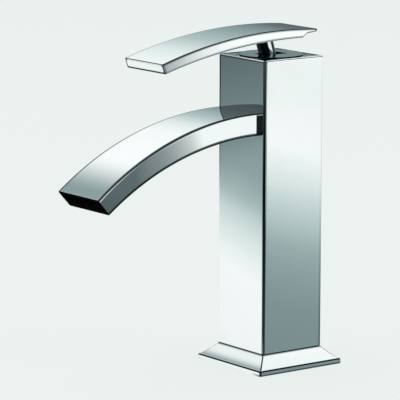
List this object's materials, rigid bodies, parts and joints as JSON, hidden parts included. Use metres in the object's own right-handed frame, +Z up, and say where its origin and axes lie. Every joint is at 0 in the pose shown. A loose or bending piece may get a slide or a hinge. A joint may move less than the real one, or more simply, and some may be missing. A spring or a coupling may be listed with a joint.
{
  "type": "basin mixer tap",
  "caption": "Single lever basin mixer tap with a square column on a flared square base, an arched flat spout and a curved slab lever over a round top disc.",
  "frame": {"origin": "middle of the underside, on the surface that the tap stands on", "axes": "+Z up along the column, spout and lever reach along -Y, +X to the right of a person standing in front of the spout"},
  "size_m": [0.064, 0.1774, 0.2114],
  "materials": {
    "chrome_shell": "polished",
    "black_plastic": "satin",
    "white_plastic": "satin",
    "seal_rubber": "matte",
    "cast_brass": "satin",
    "copper_tube": "satin",
    "plain_steel": "satin",
    "disc_ceramic": "polished"
  },
  "bodies": {
    "tap_body": {"column": "chrome_shell", "base_plinth": "chrome_shell", "base_seal": "seal_rubber", "plinth_screws": "plain_steel", "foot_block": "cast_brass", "hot_riser": "copper_tube", "cold_riser": "copper_tube", "riser_seals": "seal_rubber", "manifold": "cast_brass", "spout": "chrome_shell", "spout_seal": "seal_rubber", "outlet_insert": "black_plastic", "cartridge_base": "white_plastic", "cartridge_seals": "seal_rubber", "fixed_disc": "disc_ceramic", "cartridge_housing": "white_plastic", "cartridge_nut": "cast_brass"},
    "turret": {"turret": "white_plastic", "turret_seal": "seal_rubber", "spindle_pin": "plain_steel", "top_disc": "chrome_shell"},
    "lever": {"lever": "chrome_shell", "spindle": "plain_steel", "grub_screw": "plain_steel"},
    "mixing_disc": {"moving_disc": "disc_ceramic", "disc_carrier": "white_plastic"}
  },
  "joints": [
    {"name": "lever_turn", "type": "hinge", "parent": "tap_body", "child": "turret", "pos_m": [0, 0, 0.185], "axis": [0, 0, 1], "range_deg": [-45, 45]},
    {"name": "lever_lift", "type": "hinge", "parent": "turret", "child": "lever", "pos_m": [0, 0, 0.185], "axis": [-1, 0, 0], "range_deg": [0, 25]},
    {"name": "disc_shift", "type": "slide", "parent": "turret", "child": "mixing_disc", "axis": [0, 1, 0], "range_m": [-0.0042, 0]}
  ],
  "couplings": [
    {"joint": "disc_shift", "follows": "lever_lift", "m_per_rad": -0.0092968}
  ]
}
